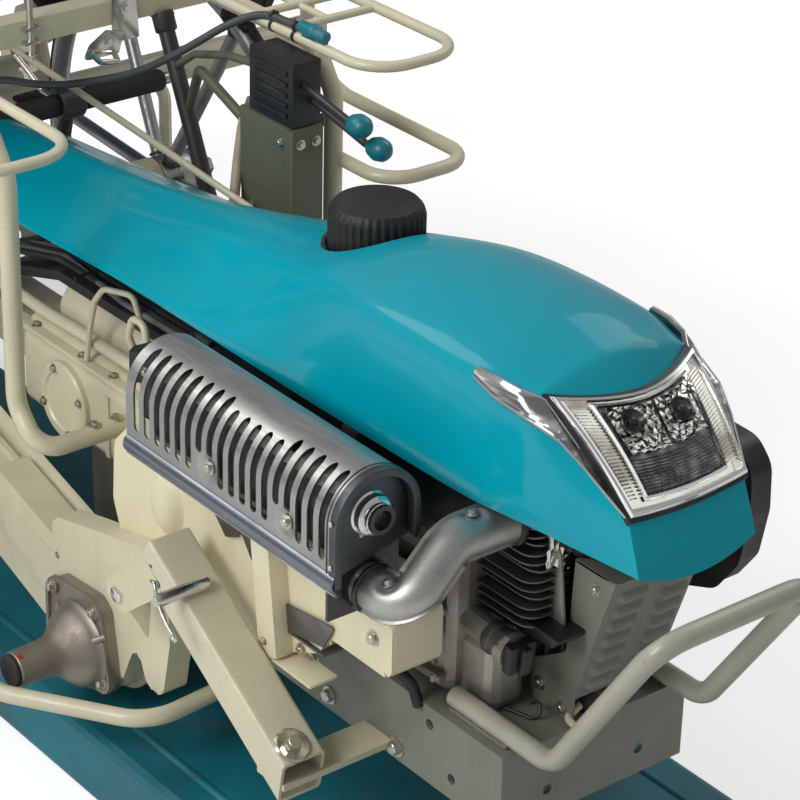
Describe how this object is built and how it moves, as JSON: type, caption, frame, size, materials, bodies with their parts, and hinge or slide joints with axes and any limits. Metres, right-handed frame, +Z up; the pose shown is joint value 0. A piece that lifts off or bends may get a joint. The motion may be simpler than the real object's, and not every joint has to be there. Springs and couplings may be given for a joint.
{
  "type": "walk behind rice transplanter",
  "caption": "Walk behind rice transplanter with front engine under a teal hood, paddy wheels, floats, sliding seedling table, planting arms and rear handlebar",
  "frame": {"origin": "on the floor, under the centre of the bounding box", "axes": "+X forward to the bumper, +Y to the machine's left, +Z up"},
  "size_m": [1.9693, 1.492, 0.9065],
  "materials": {
    "cream_paint": "satin",
    "teal_hood": "gloss",
    "teal_float": "matte",
    "black_plastic": "matte",
    "cast_aluminium": "matte",
    "silver_plate": "satin",
    "steel": "satin",
    "bright_chrome": "polished",
    "clear_lens": "clear",
    "lug_rubber": "matte",
    "table_plastic": "satin"
  },
  "bodies": {
    "chassis": {"engine_bed": "cream_paint", "front_bumper": "cream_paint", "engine_block": "cast_aluminium", "engine_cylinder": "cast_aluminium", "engine_cover": "black_plastic", "engine_shield": "cream_paint", "muffler": "steel", "muffler_guard": "silver_plate", "exhaust_pipe": "steel", "side_cover": "cream_paint", "hood": "teal_hood", "headlight_body": "bright_chrome", "headlight_lens": "clear_lens", "gear_case": "cream_paint", "main_frame": "cream_paint", "axle_tube": "cast_aluminium", "centre_float": "teal_float", "table_rail": "cream_paint", "handlebar": "black_plastic", "fuel_tank": "black_plastic", "fuel_cap": "black_plastic", "rear_beam": "cream_paint", "lever_box": "black_plastic", "side_float_right": "teal_float", "bow_tube_right": "cream_paint", "swing_case_right": "cream_paint", "pivot_cap_right": "cast_aluminium", "lift_link_right": "cream_paint", "seedling_rack_right": "cream_paint", "planting_case_right": "cream_paint", "side_float_left": "teal_float", "bow_tube_left": "cream_paint", "swing_case_left": "cream_paint", "pivot_cap_left": "cast_aluminium", "lift_link_left": "cream_paint", "seedling_rack_left": "cream_paint", "planting_case_left": "cream_paint"},
    "wheel_right": {"wheel_frame_right": "steel", "wheel_lugs_right": "lug_rubber"},
    "wheel_left": {"wheel_frame_left": "steel", "wheel_lugs_left": "lug_rubber"},
    "table": {"seedling_table": "table_plastic"},
    "crank_right": {"crank_right": "steel"},
    "crank_left": {"crank_left": "steel"},
    "arms_right": {"planting_arm_right_inner": "cast_aluminium", "planting_arm_right_outer": "cast_aluminium"},
    "arms_left": {"planting_arm_left_inner": "cast_aluminium", "planting_arm_left_outer": "cast_aluminium"},
    "marker_right": {"marker_right": "steel"},
    "marker_left": {"marker_left": "steel"}
  },
  "joints": [
    {"name": "wheel_right_spin", "type": "hinge", "parent": "chassis", "child": "wheel_right", "pos_m": [-0.22, -0.3, 0.3], "axis": [0, 1, 0], "continuous": true},
    {"name": "wheel_left_spin", "type": "hinge", "parent": "chassis", "child": "wheel_left", "pos_m": [-0.22, 0.3, 0.3], "axis": [0, 1, 0], "continuous": true},
    {"name": "table_slide", "type": "slide", "parent": "chassis", "child": "table", "axis": [0, 1, 0], "range_m": [-0.13, 0.13]},
    {"name": "crank_right_spin", "type": "hinge", "parent": "chassis", "child": "crank_right", "pos_m": [-0.77, -0.3, 0.235], "axis": [0, 1, 0], "continuous": true},
    {"name": "crank_left_spin", "type": "hinge", "parent": "chassis", "child": "crank_left", "pos_m": [-0.77, 0.3, 0.235], "axis": [0, 1, 0], "continuous": true},
    {"name": "arms_right_swing", "type": "hinge", "parent": "crank_right", "child": "arms_right", "pos_m": [-0.77, -0.3, 0.27], "axis": [0, 1, 0], "continuous": true},
    {"name": "arms_left_swing", "type": "hinge", "parent": "crank_left", "child": "arms_left", "pos_m": [-0.77, 0.3, 0.27], "axis": [0, 1, 0], "continuous": true},
    {"name": "marker_right_fold", "type": "hinge", "parent": "chassis", "child": "marker_right", "pos_m": [-0.555, -0.73, 0.275], "axis": [1, 0, 0], "range_deg": [0, 85]},
    {"name": "marker_left_fold", "type": "hinge", "parent": "chassis", "child": "marker_left", "pos_m": [-0.555, 0.73, 0.275], "axis": [-1, 0, 0], "range_deg": [0, 85]}
  ],
  "couplings": [
    {"joint": "crank_left_spin", "follows": "crank_right_spin", "ratio": 1},
    {"joint": "arms_right_swing", "follows": "crank_right_spin", "ratio": -1},
    {"joint": "arms_left_swing", "follows": "crank_right_spin", "ratio": -1}
  ]
}
